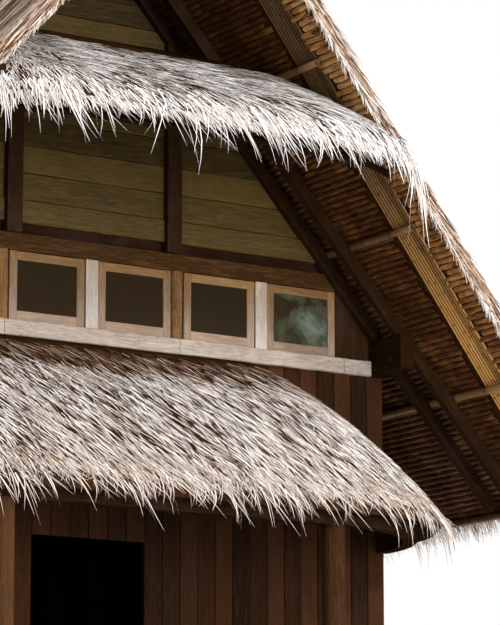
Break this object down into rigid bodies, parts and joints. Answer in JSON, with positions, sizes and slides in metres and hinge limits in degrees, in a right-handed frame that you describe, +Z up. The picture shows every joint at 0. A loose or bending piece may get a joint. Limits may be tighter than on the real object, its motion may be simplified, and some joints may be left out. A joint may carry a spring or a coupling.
{
  "type": "stilt house",
  "caption": "Timber stilt house with a steep thatched roof, thatched gable hoods, rows of attic windows and round-ended thatched skirt roofs over two verandas.",
  "frame": {"origin": "on the ground, under the middle of the house", "axes": "+X across the house to the right of the front gable, +Y from the front gable to the back one, +Z up"},
  "size_m": [7.4874, 9.52, 8.9347],
  "materials": {
    "stone": "rough grey stone",
    "post_timber": "dark weathered timber",
    "frame_timber": "dark oiled timber",
    "floor_timber": "worn boards",
    "wall_boards": "dark vertical boards",
    "gable_wood": "olive-brown boards, satin",
    "dark_wood": "dark red-brown timber",
    "pale_wood": "bleached grey planks",
    "bark_log": "log with bark",
    "sash_wood": "varnished tan timber",
    "window_glass": "dark window glass",
    "bamboo": "split and round bamboo",
    "thatch": "sun-bleached palm thatch"
  },
  "bodies": {
    "root": {"footings": "stone", "corner_posts": "post_timber", "gable_wall_posts": "post_timber", "middle_stilts": "post_timber", "veranda_posts": "post_timber", "floor_girders": "frame_timber", "floor_joists": "frame_timber", "attic_joists": "frame_timber", "wall_plates": "frame_timber", "ridge_pole": "frame_timber", "left_rafters": "frame_timber", "right_rafters": "frame_timber", "eave_beams": "frame_timber", "eave_beam_ends": "frame_timber", "floor_deck": "floor_timber", "attic_floor": "floor_timber", "front_wall": "wall_boards", "front_wall_over_door": "wall_boards", "back_wall": "wall_boards", "back_wall_over_door": "wall_boards", "left_wall": "wall_boards", "right_wall": "wall_boards", "front_gable_boards": "gable_wood", "back_gable_boards": "gable_wood", "gable_cheeks": "gable_wood", "header_beams": "dark_wood", "friezes": "dark_wood", "king_posts": "dark_wood", "sill_boards": "pale_wood", "window_planks": "pale_wood", "window_logs": "bark_log", "front_sashes": "sash_wood", "back_sashes": "sash_wood", "front_panes": "window_glass", "back_panes": "window_glass", "purlins": "bamboo", "slat_bundles": "bamboo", "skirt_poles": "bamboo", "hood_poles": "bamboo", "hood_eave_poles": "bamboo", "left_thatch": "thatch", "right_thatch": "thatch", "ridge_cap": "thatch", "front_skirt": "thatch", "front_skirt_ends": "thatch", "back_skirt": "thatch", "back_skirt_ends": "thatch", "front_hood": "thatch", "back_hood": "thatch"}
  },
  "joints": []
}
